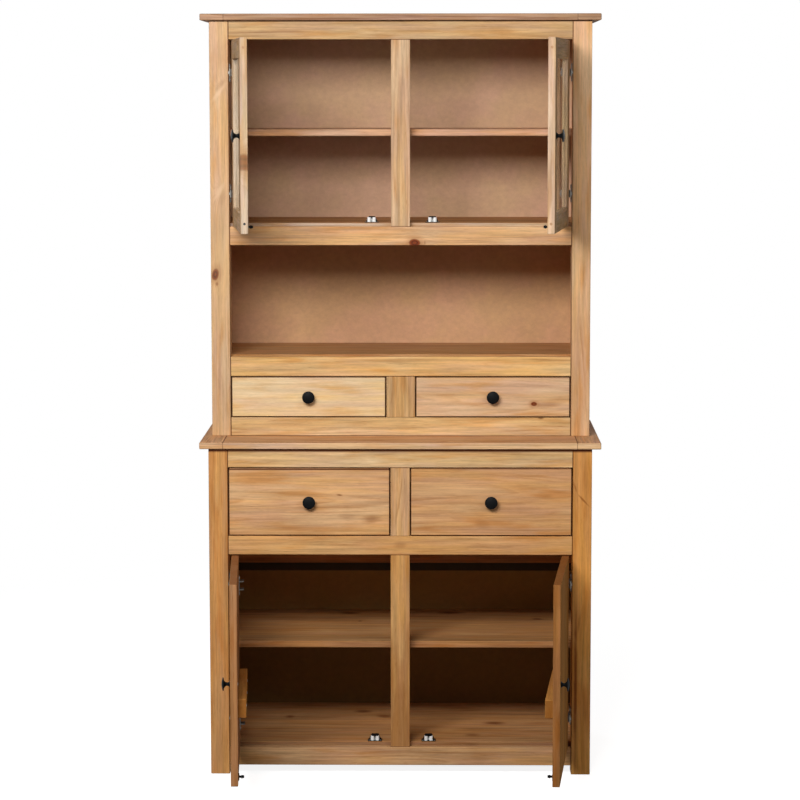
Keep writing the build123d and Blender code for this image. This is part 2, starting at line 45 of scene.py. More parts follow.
# --- Posts and rails -------------------------------------------------------------------
# The frame of both units: sawn pine of 43 mm and 18 mm, planed, its arrises eased by hand,
# glued up with dowels and finished with a honey-coloured wax that darkens in the joints.


class Field:
    """A value that varies over a surface; sums written with it add Math nodes to its recipe."""

    def __init__(self, recipe, socket):
        self.recipe, self.socket = recipe, socket

    def math(self, operation, *others):
        return self.recipe.add(
            "ShaderNodeMath", {"operation": operation}, dict(enumerate((self, *others)))
        )

    def reflected(self, operation, other):
        return self.recipe.add("ShaderNodeMath", {"operation": operation}, {0: other, 1: self})

    def __add__(self, other):
        return self.math("ADD", other)

    def __sub__(self, other):
        return self.math("SUBTRACT", other)

    def __mul__(self, other):
        return self.math("MULTIPLY", other)

    def __truediv__(self, other):
        return self.math("DIVIDE", other)

    def __pow__(self, other):
        return self.math("POWER", other)

    def __abs__(self):
        return self.math("ABSOLUTE")

    def __rsub__(self, other):
        return self.reflected("SUBTRACT", other)

    def __rtruediv__(self, other):
        return self.reflected("DIVIDE", other)

    __radd__ = __add__
    __rmul__ = __mul__

    def rise(self, start, end):
        """0 below start, 1 above end, eased between them."""
        return self.recipe.add(
            "ShaderNodeMapRange",
            {"interpolation_type": "SMOOTHSTEP"},
            {"Value": self, "From Min": start, "From Max": end},
        )


class Recipe:
    """A node tree that is written down as expressions."""

    def __init__(self, tree):
        self.tree = tree
        self.tree.nodes.clear()

    def add(self, kind, settings=(), inputs=(), output=0):
        """Any node, by its type, its settings and the values or links of its sockets."""
        node = self.tree.nodes.new(kind)
        for key, value in dict(settings).items():
            setattr(node, key, value)
        for key, value in dict(inputs).items():
            for item in value if isinstance(value, list) else [value]:
                if isinstance(item, Field):
                    self.tree.links.new(item.socket, node.inputs[key])
                else:
                    node.inputs[key].default_value = item
        return Field(self, node.outputs[output])

    def split(self, vector):
        first = self.add("ShaderNodeSeparateXYZ", {}, {0: vector})
        return [Field(self, socket) for socket in first.socket.node.outputs]

    def join(self, *parts):
        return self.add("ShaderNodeCombineXYZ", {}, dict(enumerate(parts)))

    def place(self):
        """Where a point lies: x, y and z in metres."""
        return self.split(self.add("ShaderNodeTexCoord", output="Object"))

    def noise(self, parts, detail=2.0, roughness=0.5):
        """Soft noise from 0 to 1 on three scaled coordinates."""
        return self.add(
            "ShaderNodeTexNoise",
            {"noise_dimensions": "3D"},
            {"Vector": self.join(*parts), "Scale": 1.0, "Detail": detail, "Roughness": roughness},
        )

    def specks(self, per_metre, detail=2.0):
        """Noise that is alike in all directions, with so many specks to the metre."""
        return self.noise([axis * per_metre for axis in self.place()], detail, 0.6)

    def mix(self, share, low, high, blend="MIX"):
        """One colour mixed into another."""
        return self.add(
            "ShaderNodeMix",
            {"data_type": "RGBA", "blend_type": blend},
            {0: share, 6: low, 7: high},
            output=2,
        )

    def tint(self, colour, amount):
        """A colour made lighter or darker by a number."""
        colour = colour if isinstance(colour, Field) else colour[:3]
        return self.add(
            "ShaderNodeVectorMath", {"operation": "SCALE"}, {0: colour, "Scale": amount}
        )


def material(name):
    """A new finish, with the recipe that its surface is written in."""
    made = bpy.data.materials.new(name)
    made.use_nodes = True
    return made, Recipe(made.node_tree)


def surface(recipe, height=None, depth=0.001, **values):
    """The shader at the end of a recipe, with a bump if it has a height."""
    inputs = {key.replace("_", " "): value for key, value in values.items()}
    if height is not None:
        inputs["Normal"] = recipe.add("ShaderNodeBump", {}, {"Height": height, "Distance": depth})
    shader = recipe.add("ShaderNodeBsdfPrincipled", {}, inputs)
    end = recipe.tree.nodes.new("ShaderNodeOutputMaterial")
    recipe.tree.links.new(shader.socket, end.inputs["Surface"])


def shade(red, green, blue):
    """A colour from a paint chart, 0 to 255, in the renderer's own terms."""
    return tuple(
        c / 12.92 if c <= 0.04045 else ((c + 0.055) / 1.055) ** 2.4
        for c in (red / 255, green / 255, blue / 255)
    )


def board_space(wood, leaf):
    """Where a point lies and which way it faces, along the case or along an open door."""
    place = wood.add("ShaderNodeTexCoord", output="Object")
    facing = wood.add("ShaderNodeTexCoord", output="Normal")
    if leaf:
        turn = Matrix.Rotation(-leaf["turn"], 3, "Z")
        about = {"Rotation": (0, 0, -leaf["turn"]), "Location": -(turn @ leaf["corner"])}
        place = wood.add("ShaderNodeMapping", {}, {"Vector": place, **about})
        upright = {"rotation_type": "Z_AXIS"}
        facing = wood.add("ShaderNodeVectorRotate", upright, {"Vector": facing, "Angle": -leaf["turn"]})
    return dict(zip("xyz", wood.split(place))), dict(zip("xyz", wood.split(facing)))


def looking(direction):
    """1 on the faces that look along an axis, either way, and 0 on those beside them."""
    return abs(direction).rise(0.6, 0.9)


def strips(wood, across, width, start, seed):
    """The strips of a wide board: where each was sawn, how its figure jumps, its tone and its edges."""
    number = ((across - start) / width).math("FLOOR")
    roll = wood.add(
        "ShaderNodeTexWhiteNoise", {"noise_dimensions": "1D"}, {"W": number + seed * 0.37}, "Color"
    )
    side, depth, tone = wood.split(roll)
    inside = across - start - (number + 0.5) * width
    heart = inside - (side - 0.5) * width * 1.4
    below = 0.035 + depth * 0.09
    jump = number * 3.7
    seam = 1 - (width * 0.5 - abs(inside)).rise(0.0, 0.0007)
    return heart, below, jump, tone, seam


class Board:
    """A board of pine: how it lies, how it was sawn from its tree, and the colour of its wood."""

    def __init__(self, wood, order, tone, seed, middle, leaf):
        self.wood, self.base, self.seed, self.middle = wood, shade(*tone), seed, middle
        self.axes, self.faces = board_space(wood, leaf)
        self.along, self.across, self.thick = (self.axes[axis] for axis in order)
        self.ends = looking(self.faces[order[0]])
        self.dice = random.Random(seed)
        self.start_along, self.start_across, _ = (self.dice.uniform(3, 40) for _ in range(3))

    def toned(self, red, green, blue):
        """The board's tone with its red, green and blue each made weaker or stronger."""
        return (self.base[0] * red, self.base[1] * green, self.base[2] * blue, 1)

    def cross_grain(self, share):
        """Where share is 1, the grain runs along x and the width of the wood along z."""
        self.along = self.along + (self.axes["x"] - self.along) * share
        self.across = self.across + (self.axes["z"] - self.across) * share
        self.ends = self.ends * (1 - share)

    def saw(self, stave, lip, rails, pair):
        """Settles where the heart of the tree ran, how far below the board, and where wood meets wood."""
        self.front = self.right_hand = 0.0
        if lip:
            self.front = looking(self.faces["y"])
            self.cross_grain(self.front)
        if stave:
            grown = strips(self.wood, self.across, *stave, self.seed)
            self.heart, self.below, self.jump, self.roll, seam = grown
            self.seam = seam * (1 - self.front)
        else:
            self.heart = self.across - self.middle[1] - self.dice.uniform(-0.02, 0.02)
            self.below, self.jump, self.roll, self.seam = self.dice.uniform(0.03, 0.075), 0.0, 0.5, 0.0
        if lip:
            self.heart = self.heart + (self.thick - self.middle[2] - self.heart) * self.front
            self.below, self.jump = self.below * (1 - self.front), self.jump * (1 - self.front)
            self.roll = (self.roll - 0.5) * (1 - self.front) + 0.5
        if rails:
            start, end = rails
            inside = (end - start) / 2 - abs(self.axes["x"] - (start + end) / 2)
            crossing = inside.rise(0.0002, 0.0004)
            self.seam = (1 - abs(inside).rise(0.0003, 0.0009)) * (1 - looking(self.faces["x"]))
            self.cross_grain(crossing)
            self.heart = self.across - self.middle[1]
            self.jump = crossing * 5.1 + self.axes["z"].rise(0.1, 0.2) * crossing * 2.3
        if pair:
            self.right_hand = self.axes["x"].rise(-0.001, 0.001)
            self.jump = self.jump + self.right_hand * 7.3
        self.wobble = self.wood.noise((self.along * 30, self.across * 90, self.thick * 90)) * 0.5 - 0.25

    def drift(self, length, width, detail=1.0, shift=0.0):
        """Noise about 0 whose waves are so long along the grain and so wide across it."""
        along_wave = self.along / length + self.start_along + shift
        across_wave = self.across / width + self.jump + self.start_across
        return self.wood.noise((along_wave, across_wave, self.thick / width), detail, 0.6) - 0.5

    def fibres(self, along, across, roughness):
        """Noise about 0 with so many fibres to the metre along and across the grain."""
        parts = (self.along * along, self.across * across + self.jump, self.thick * across)
        return self.wood.noise(parts, 2.0, roughness) - 0.5

    def patch(self, spot):
        """Distance from the middle of an oval spot, 1 on its rim."""
        middle_along, middle_across, half_length, half_width, turn = spot[:5]
        along, across = self.along - middle_along, self.across - middle_across
        a = along * math.cos(turn) + across * math.sin(turn)
        b = across * math.cos(turn) - along * math.sin(turn)
        return ((a / half_length) ** 2 + (b / half_width) ** 2) ** 0.5 + self.wobble

    def late_wood(self, slant, spots):
        """The dark end of each year's ring. The rings run round the heart and bend out at a knot."""
        year = 0.0062
        off_side = self.heart + self.drift(0.9, 0.3) * 0.06
        off_deep = self.thick - self.middle[2] + self.below + self.drift(0.8, 0.25, 1.0, 9) * 0.06
        off_deep = off_deep + (self.along + self.jump) * slant
        radius = (off_side * off_side + off_deep * off_deep) ** 0.5
        for distance, _, size in spots:
            radius = radius + size * 2.2 / (1 + distance * distance)
        turns = radius / year + self.drift(0.25, 0.03, 2.0, 3) * 1.2
        turns = turns + self.wood.noise((radius * 55, self.seed * 1.7, self.jump), 1.0) * 4.0
        phase = turns.math("FRACT")
        late = phase ** 2.2 * (1 - phase.rise(0.8, 1.0))
        return late * (0.25 + self.drift(0.22, 0.035, 2.0, 5).rise(-0.05, 0.22) * 0.95)

    def clear_wood(self, late, streak, figure):
        """The wood between its knots: clouds of tone, late wood, dashes of resin, bands and pores."""
        straw, rosy = self.toned(1.07, 1.04, 0.88), self.toned(0.98, 0.95, 1.04)
        amber, bleached = self.toned(0.94, 0.78, 0.56), self.toned(1.14, 1.22, 1.3)
        colour = self.wood.mix(self.drift(0.24, 0.03, 2.0, 17).rise(-0.15, 0.15), straw, rosy)
        colour = self.wood.mix(self.drift(0.16, 0.022, 2.0, 11).rise(-0.02, 0.2), colour, amber)
        broad = self.drift(0.2, 0.045, 2.0)
        colour = self.wood.mix(broad.rise(-0.02, 0.2) * 0.9, colour, bleached)
        line = self.drift(0.06, 0.0015, 2.0, 31).rise(0.1, 0.3)
        dash = self.drift(0.03, 0.0012, 1.0, 37).rise(0.15, 0.26)
        dark = late * 0.9 + dash * 0.6 + line * 0.3
        colour = self.wood.mix(dark * figure, colour, self.toned(0.62, 0.45, 0.28))
        band, pores = self.drift(0.2, 0.008, 2.0, 23), self.fibres(60, 480, 0.65)
        light = 1.05 + (streak * 0.5 + band) * figure + pores * 0.32 - broad * 0.3
        return self.wood.tint(colour, light + (self.roll - 0.5) * 0.24)

    def knotted(self, colour, spots):
        """Knots, each a dark ringed core in a reddish rim."""
        rim, core = self.toned(0.66, 0.42, 0.24), self.toned(0.32, 0.1, 0.035)
        for distance, strength, _ in spots:
            halo = (1 - distance.rise(0.8, 2.4)) * 0.5 * strength
            colour = self.wood.mix(halo, colour, rim)
            heartwood = (1 - distance.rise(0.72, 1.08)) * strength
            whorl = (distance * 11).math("SINE") * 0.35 + 0.85
            colour = self.wood.mix(heartwood, colour, self.wood.tint(core, whorl))
        return colour

    def stained(self, colour, stains):
        """Oval spots where the wood is darker, or paler than the rest."""
        darker, paler = self.toned(0.42, 0.27, 0.17), self.toned(1.25, 1.35, 1.5)
        for spot in stains:
            share = (1 - self.patch(spot).rise(0.15, 1.0)) * abs(spot[5])
            colour = self.wood.mix(share, colour, darker if spot[5] > 0 else paler)
        return colour

    def joined(self, colour, joints):
        """Sawn ends, the glue lines between strips, the dark joints with other boards, and lines of
        painted shade and painted shadow.
        """
        sawn_end, glue_line = self.toned(0.66, 0.52, 0.38), self.toned(0.5, 0.34, 0.2)
        colour = self.wood.mix(self.ends * 0.75, colour, sawn_end)
        colour = self.wood.mix(self.seam * (1 - self.ends) * 0.28, colour, glue_line)
        # Dark lines: real joints, and also painted shade in gaps and painted shadow under overhangs.
        for axis, where, wide in joints:
            near = 1 - abs(abs(self.axes[axis]) - where).rise(wide * 0.4, wide)
            crossed = (1 - looking(self.faces[axis])) * (1 - self.front)
            colour = self.wood.mix(near * crossed, colour, self.toned(0.13, 0.045, 0.012))
        return colour


def pine(name, order, tone, seed, middle, stave=None, knots=(), stains=(), joints=(), leaf=None,
         figure=1.0, gloss=0.55, sheen=0.16, slant=0.008, pair=None, lip=None, rails=None, outer=None):
    """Pine with its grain along the first axis of order, its width along the second.

    middle is the board's middle on those axes, and leaf is the open door that it belongs to.
    stave is the width and the start of the strips that a wide board is glued up from.
    knots and stains are oval spots (grain, width, half length, half width, turn, strength): a knot
    of strength 0 only bends the grain, and a stain with a strength below 0 is paler than the wood.
    joints are dark lines (axis, where, half width) on the faces that they cross: real joints between two
    boards, and also painted shade in gaps and painted shadow under overhangs.
    figure is how strongly the grain shows, gloss how rough the wax is and sheen how much it mirrors.
    slant is how far the board was sawn off the line of the trunk: much of it gives arches.
    pair is the tint of the right-hand board of a node that has one at either end of the case.
    lip is the tint of a strip along x that is glued to the front edge.
    rails is where the rails of a door frame start and end, whose grain runs from stile to stile.
    outer is the tint of a door's outer face. The lower doors' own tones are painted shade, and their
    outer tints bring the outer faces back towards the tone of the case."""
    made, wood = material(name)
    board = Board(wood, order, tone, seed, middle, leaf)
    board.saw(stave, lip, rails, pair)
    spots = [(board.patch(spot), spot[5], spot[3]) for spot in knots]
    late, streak = board.late_wood(slant, spots), board.drift(0.1, 0.0034, 3.0, 29)
    colour = board.knotted(board.clear_wood(late, streak, figure), spots)
    colour = board.stained(colour, stains)
    outside = (board.faces["y"] * leaf["side"]).rise(0.5, 0.9) if outer else 0.0
    for part, tint in ((board.front, lip), (board.right_hand, pair), (outside, outer)):
        if tint:
            other = wood.add("ShaderNodeVectorMath", {"operation": "MULTIPLY"}, {0: colour, 1: tint})
            colour = wood.mix(part, colour, other)
    colour = board.joined(colour, joints)
    rough = gloss + late * 0.1 + streak * 0.15 + board.ends * 0.2
    height = late * 0.35 + board.fibres(45, 1500, 0.7) * 0.4 + streak * 0.3
    surface(wood, height, 0.00035, Base_Color=colour, Roughness=rough, Specular_IOR_Level=sheen)
    return made


def dress(node, made):
    """Gives a node its finish."""
    for slot in nodes[node].material_slots:
        slot.material = made


def clothe(node, order, tone, seed, **more):
    """Gives a node of the case its own board of pine."""
    low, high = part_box(node)
    by_axis = dict(zip("xyz", (low + high) / 2))
    if more.get("pair"):
        by_axis["x"] = high.x
    dress(node, pine(node, order, tone, seed, [by_axis[axis] for axis in order], **more))


post_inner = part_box("lower_top_rail")[1].x
post_middle = (post_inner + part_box("lower_posts")[1].x) / 2
joint_line = 0.0017  # half the width of the dark line that wax leaves in a joint
post_joint = [("x", post_inner, joint_line)]
# Painted shadow: dark bands on the tops of the rails and posts, the shadow under the overhang of the
# worktop and, narrower, of the hutch top.
shadow_under_worktop = [("z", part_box("worktop")[0].z, 0.0095)]
shadow_under_top = [("z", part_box("hutch_top")[0].z, 0.0035)]
clothe(
    "upper_posts", "zxy", (200, 163, 124), 11,
    pair=(1.2, 1.15, 1.1), joints=post_joint + shadow_under_top, figure=0.8,
    knots=[
        (1.1287, -post_middle - 0.0115, 0.0145, 0.0088, 0.2, 1.0),
        (1.107, -post_middle - 0.008, 0.004, 0.003, 0.0, 0.5),
        (1.545, -post_middle, 0.02, 0.012, 0.62, 0.0),
        (1.32, -post_middle - 0.004, 0.02, 0.01, 0.3, 0.0),
    ],
    stains=[
        (1.54, -post_middle, 0.034, 0.007, 0.62, -0.8),
        (1.556, -post_middle + 0.004, 0.024, 0.01, 0.62, 0.25),
        (1.24, -post_middle, 0.2, 0.08, 0.0, -0.22),
        (0.92, post_middle, 0.26, 0.08, 0.0, 0.26),
        (1.318, -post_middle, 0.034, 0.008, 0.5, -0.7),
        (1.3, -post_middle + 0.006, 0.03, 0.01, 0.3, 0.22),
    ],
)
clothe(
    "lower_posts", "zxy", (195, 144, 90), 12,
    pair=(1.17, 1.09, 0.78), joints=post_joint + shadow_under_worktop, figure=0.9,
    stains=[
        (0.629, post_middle + 0.003, 0.026, 0.0032, -0.75, 0.85),
        (0.658, post_inner + 0.006, 0.018, 0.003, -0.3, 0.6),
        (0.21, post_inner + 0.009, 0.25, 0.006, 0.0, 1.0),
        (0.35, post_middle - 0.005, 0.03, 0.004, 0.1, 0.3),
        (0.64, post_middle, 0.22, 0.08, 0.0, 0.2),
    ],
)
rail_looks = {  # tone, seed, knots, stains
    "upper_top_rail": ((186, 151, 108), 21, [], []),
    "upper_middle_rail": (
        (203, 160, 117), 22,
        [(0.0315, 1.2005, 0.0135, 0.0095, 0.05, 1.0)],
        [(0.055, 1.201, 0.002, 0.0075, 0.0, 0.6)],
    ),
    "upper_shelf_rail": ((214, 171, 116), 23, [], []),
    "upper_bottom_rail": ((205, 171, 126), 24, [], [(0.3196, 0.801, 0.01, 0.004, 0.0, 0.9)]),
    "lower_top_rail": ((209, 173, 128), 25, [], []),
    "lower_middle_rail": ((201, 152, 98), 26, [], [(0.0, 0.527, 0.02, 0.012, 0.1, 0.3)]),
    "lower_bottom_rail": ((187, 144, 101), 27, [], []),
}
# Painted shadow lines: under the worktop, under the hutch top, and along the foot of the upper bottom
# rail where it stands on the worktop.
painted_shadow_lines = {
    "lower_top_rail": shadow_under_worktop,
    "upper_top_rail": shadow_under_top,
    "upper_bottom_rail": [("z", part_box("upper_bottom_rail")[0].z, 0.002)],
}
for node, (tone, seed, knots, stains) in rail_looks.items():
    joints = post_joint + painted_shadow_lines.get(node, [])
    clothe(node, "xzy", tone, seed, knots=knots, stains=stains, joints=joints)

# --- Stiles ----------------------------------------------------------------------------
# Short uprights of the same pine between the rails: one between each pair of doors, one
# between the lower drawers, and the wide block between the upper ones.

stile_looks = {  # tone, seed
    "upper_door_stile": ((190, 155, 119), 31),
    "upper_drawer_block": ((186, 148, 102), 32),
    "lower_drawer_stile": ((203, 161, 115), 33),
    "lower_door_stile": ((196, 148, 93), 34),
}
# Painted shade: the foot of the lower door stile is darkened where the light falls off towards the floor.
shaded_foot = {"lower_door_stile": [(0.07, 0.0, 0.3, 0.08, 0.0, 0.6)]}
for node, (tone, seed) in stile_looks.items():
    low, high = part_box(node)
    joints = [("z", low.z, joint_line), ("z", high.z, joint_line)]
    clothe(node, "zxy", tone, seed, joints=joints, stains=shaded_foot.get(node, ()))

# --- Sides, floors and shelves ---------------------------------------------------------
# Boards glued up from narrow strips of pine, so that each strip has its own tone: the sides
# stand upright, the floors and shelves run across, with their front edges planed and eased.

clothe("upper_side_panels", "zyx", (214, 170, 122), 41, stave=(0.055, 0.0), pair=(1, 1, 1))
clothe("lower_side_panels", "zyx", (206, 160, 108), 42, stave=(0.062, 0.01), pair=(1, 1, 1))
board_looks = {  # tone, seed, width of a strip, tint of the front edge
    "upper_floor": ((160, 113, 67), 43, 0.058, (1.4, 2.15, 4.4)),
    "upper_shelf": ((197, 154, 121), 44, 0.064, None),
    "niche_shelf": ((177, 130, 85), 45, 0.072, None),
    "lower_floor": ((185, 136, 89), 46, 0.07, (0.57, 0.59, 0.68)),
    "lower_shelf": ((170, 126, 81), 47, 0.066, (0.93, 0.85, 0.83)),
}
board_marks = {
    "lower_floor": [
        (-0.264, 0.234, 0.016, 0.02, 0.0, 1.0),
        (-0.093, 0.29, 0.03, 0.024, 0.0, 0.9),
        (-0.04, 0.24, 0.03, 0.022, -0.5, 0.9),
        (0.218, 0.173, 0.035, 0.022, 0.0, 0.9),
        (0.164, 0.055, 0.025, 0.018, 0.0, 0.7),
    ],
    "lower_shelf": [
        (-0.125, 0.334, 0.035, 0.022, 0.0, 1.0),
        (-0.098, 0.237, 0.007, 0.012, 0.0, 1.0),
        (0.115, 0.34, 0.05, 0.024, 0.0, 1.0),
        (0.32, 0.265, 0.02, 0.016, 0.0, 1.0),
    ],
}
for node, (tone, seed, strip, lip) in board_looks.items():
    first_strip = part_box(node)[0].y + 0.002
    stains = board_marks.get(node, ())
    clothe(node, "xyz", tone, seed, stave=(strip, first_strip), stains=stains, lip=lip)

# --- Worktop and hutch top -------------------------------------------------------------
# Each is a board with its grain across the dresser, held flat by a cleat at either end
# whose grain runs front to back; all outer edges are rounded, the joints eased.

top_looks = {  # tone, seed, tint of the front edge
    "worktop": ((194, 148, 107), 51, (1.16, 1.38, 1.72)),
    "hutch_top": ((163, 129, 102), 52, (1.12, 1.13, 1.15)),
}
under_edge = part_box("hutch_top")[0].z
streaks = {
    "hutch_top": [
        (-0.2, under_edge + 0.003, 0.35, 0.004, 0.01, 0.7),
        (0.12, under_edge + 0.008, 0.3, 0.0025, -0.01, 0.65),
        (0.3, under_edge + 0.004, 0.2, 0.003, 0.005, 0.7),
        (-0.05, under_edge + 0.012, 0.12, 0.002, 0.0, 0.45),
        (-0.35, under_edge + 0.011, 0.1, 0.003, 0.03, 0.4),
        (-0.27, under_edge + 0.009, 0.1, 0.002, 0.0, -0.5),
        (0.2, under_edge + 0.004, 0.16, 0.002, 0.0, -0.45),
    ],
}
for top, (tone, seed, lip) in top_looks.items():
    low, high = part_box(top)
    cleat_joint = [("x", high.x, joint_line)]
    clothe(
        top, "xyz", tone, seed, stave=(0.071, low.y + 0.003), joints=cleat_joint, lip=lip,
        stains=streaks.get(top, ()),
    )
    clothe(f"{top}_end_cleats", "yxz", tone, seed, joints=cleat_joint, lip=lip, figure=1.4)

# --- Backs -----------------------------------------------------------------------------
# Thin brown fibreboard let in between the back posts, mottled with darker and paler fibres,
# and the pine stretcher that stiffens the sideboard behind its drawers.


def fibreboard(name, tone, seed, zones=()):
    """tone is its inner face's; zones are heights (bottom, top, tint) between which the inner face is
    tinted: a tint above 1 is painted light, a tint below 1 painted shade.
    """
    made, board = material(name)
    x, y, z = board.place()
    cloud = board.noise((x * 7 + seed, y, z * 9), 3.0, 0.6).rise(0.35, 0.65)
    blotch = board.noise((x * 24, y, z * 20 + seed), 3.0, 0.65).rise(0.3, 0.7)
    mottle = board.noise((x * 90 + seed, y, z * 110), 3.0, 0.6) - 0.5
    lint = board.noise((x * 420, y * 420, z * 900 + seed), 2.0, 0.7) - 0.5
    inner = 1 - board.split(board.add("ShaderNodeTexCoord", output="Normal"))[1].rise(-0.5, 0.5)
    base = board.mix(inner, (*shade(186, 151, 120), 1), (*shade(*tone), 1))
    soft_edge = 0.002
    for bottom, top, tint in zones:
        above_bottom = z.rise(bottom - soft_edge, bottom + soft_edge)
        below_top = 1 - z.rise(top - soft_edge, top + soft_edge)
        base = board.mix(above_bottom * below_top * inner, base, (*tint, 1), "MULTIPLY")
    colour = board.mix(cloud, (1.0, 1.0, 0.9, 1), (1.04, 0.97, 1.02, 1))
    colour = board.mix(blotch * 0.5, colour, (0.9, 0.88, 0.84, 1))
    colour = board.mix(1.0, board.tint(colour, 1.03 + mottle * 0.35 + lint * 0.2), base, "MULTIPLY")
    surface(
        board, lint * 0.5 + mottle * 0.3, 0.0003,
        Base_Color=colour, Roughness=0.62 + mottle * 0.2, Specular_IOR_Level=0.25,
    )
    return made


# Painted light: the back within the open niche is tinted lighter and yellower than in the cupboard above.
lit_niche = (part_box("niche_shelf")[1].z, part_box("upper_middle_rail")[0].z, (1.1, 1.02, 0.88))
dress("upper_back_panel", fibreboard("upper_back", (185, 150, 120), 3.1, [lit_niche]))
stretcher_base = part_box("lower_back_rail")[0].z
# Painted shade on the inner face of the lower back: darker below the shelf, and a near-black band of
# painted shadow under the stretcher.
shade_under_shelf = (0.0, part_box("lower_shelf")[0].z, (0.62, 0.62, 0.62))
shadow_under_stretcher = (stretcher_base - 0.022, stretcher_base, (0.12, 0.12, 0.12))
# Painted shade: the inner face of the lower back has a darker tone than its rear face, the shade inside
# the sideboard.
lower_back = fibreboard("lower_back", (158, 123, 67), 8.7, [shade_under_shelf, shadow_under_stretcher])
dress("lower_back_panel", lower_back)
clothe("lower_back_rail", "xzy", (176, 124, 84), 48)

# --- Drawers ---------------------------------------------------------------------------
# Each has a waxed front of one wide board on a box of raw pine: two sides, a back and a thin
# bottom, nailed together. The box runs on raw pine runners between the posts.

side_gap_shade, bottom_gap_shade = 0.0018, 0.0016  # half widths of the painted shade round a front, which makes the gap beside it look wider and darker
fronts = {
    "upper_left_drawer": dict(
        tone=(218, 188, 146), seed=61, figure=0.5, top_gap_shade=0.0018,
        stains=[(-0.193, 0.899, 0.008, 0.004, 0.0, 0.9)],
    ),
    "upper_right_drawer": dict(
        tone=(208, 170, 131), seed=62, figure=0.65, top_gap_shade=0.0018,
        knots=[(0.3035, 0.8335, 0.0072, 0.0052, 0.0, 1.0)],
        stains=[(0.33, 0.832, 0.05, 0.008, 0.1, 0.3)],
    ),
    "lower_left_drawer": dict(
        tone=(207, 162, 116), seed=63, figure=0.85, top_gap_shade=0.0048,
        stains=[
            (-0.063, 0.587, 0.028, 0.014, 0.1, 0.55),
            (-0.12, 0.592, 0.03, 0.01, 0.0, 0.3),
            (-0.25, 0.565, 0.17, 0.045, -0.08, 0.3),
            (-0.136, 0.6407, 0.009, 0.0026, -0.1, 0.95),
        ],
    ),
    "lower_right_drawer": dict(
        tone=(199, 151, 104), seed=64, figure=0.75, top_gap_shade=0.0018,
        stains=[(0.185, 0.575, 0.028, 0.014, -0.2, 0.28), (0.13, 0.586, 0.02, 0.01, 0.0, 0.18)],
    ),
}
raw_pine = (222, 186, 142)
for drawer, look in fronts.items():
    low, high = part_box(f"{drawer}_front")
    # Painted shade along the edges of each front: the shade of the gap round it.
    gap_shades = [
        ("z", high.z, look.pop("top_gap_shade")), ("z", low.z, bottom_gap_shade),
        ("x", abs(low.x), side_gap_shade), ("x", abs(high.x), side_gap_shade),
    ]
    clothe(f"{drawer}_front", "xzy", joints=gap_shades, slant=0.045, **look)
    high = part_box(f"{drawer}_box")[1]
    box_seed, middle = look["seed"] + 4, [0, high.z, high.x]
    dress(f"{drawer}_box", pine(f"{drawer}_box", "yzx", raw_pine, box_seed, middle, gloss=0.66))
clothe("drawer_runners", "yxz", (214, 176, 130), 69, gloss=0.68)

# --- Doors -----------------------------------------------------------------------------
# Below, two flat doors of upright strips with a batten across the inside; above, two frames
# of pine round a pane of clear glass. They stand open on their hinges, free edge forward.

up = Vector((0, 0, 1))


def door_as_hung(joint):
    """A door at rest: which way it stands, and its lower corner at the hinge edge of its face."""
    name = joint["child"]
    side = math.copysign(1, joint["pos_m"][0])
    opened = math.radians(-joint["range_deg"][0])
    along = Vector((-side * math.cos(opened), -math.sin(opened), 0))
    inward = Vector((-side * math.sin(opened), math.cos(opened), 0))
    upper = name.startswith("upper")
    board = nodes[f"{name}_frame" if upper else f"{name}_panel"].data
    reaches = [[way.dot(vertex.co) for vertex in board.vertices] for way in (along, inward, up)]
    (near, face, bottom), (far, _, top) = map(min, reaches), map(max, reaches)
    tall, from_end = top - bottom, 0.072 if upper else 0.065
    return {
        "side": side, "along": along, "inward": inward, "upper": upper,
        "corner": along * near + inward * face + up * bottom, "turn": math.atan2(along.y, along.x),
        "wide": far - near, "tall": tall, "hinges": (from_end, tall - from_end),
        "front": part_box("upper_posts" if upper else "lower_posts")[0].y,
    }


doors = {joint["child"]: door_as_hung(joint) for joint in frame["joints"] if joint["type"] == "hinge"}


def on_leaf(door, distance, depth, height):
    """A point by its distance from the hinge edge, depth behind the face and height."""
    return door["corner"] + door["along"] * distance + door["inward"] * depth + up * height


# The lower doors' tones are painted shade: darker than the case, as their edges and inner faces stand in
# shade when open. On the lower doors the outer tint brings the outer face back towards the tone of the
# case.
door_looks = {  # tone, seed, tint of the outer face
    "lower_left_door": ((164, 118, 80), 71, (1.21, 1.2, 0.8)),
    "lower_right_door": ((154, 105, 59), 72, (1.4, 1.5, 1.3)),
    "upper_left_door": ((189, 165, 140), 73, (1.1, 1.0, 0.85)),
    "upper_right_door": ((200, 170, 140), 74, (1.0, 0.95, 0.85)),
}
dry = {"gloss": 0.9, "sheen": 0.04}  # the doors had less wax than the case
frame_stile = 0.043  # width of a glazed door's uprights
half_thick = 0.008
edge_knot = {"upper_left_door": [(0.152, doors["upper_left_door"]["wide"], 0.019, 0.02, 0.0, 0.6)]}
for name, (tone, seed, outer) in door_looks.items():
    door = doors[name]
    if door["upper"]:
        frame_wood = pine(
            f"{name}_frame", "zxy", tone, seed, [0, 0.02, half_thick], leaf=door, outer=outer,
            knots=edge_knot.get(name, ()), rails=(frame_stile, door["wide"] - frame_stile), **dry,
        )
        dress(f"{name}_frame", frame_wood)
    else:
        panel_wood = pine(
            f"{name}_panel", "zxy", tone, seed, [0, 0.1, half_thick], leaf=door, outer=outer,
            stave=(0.06, 0.003), **dry,
        )
        dress(f"{name}_panel", panel_wood)
        batten_seed, middle = seed + 9, [0, 0.16, 0.025]
        batten_wood = pine(f"{name}_batten", "xzy", (176, 122, 62), batten_seed, middle, leaf=door, **dry)
        dress(f"{name}_batten", batten_wood)

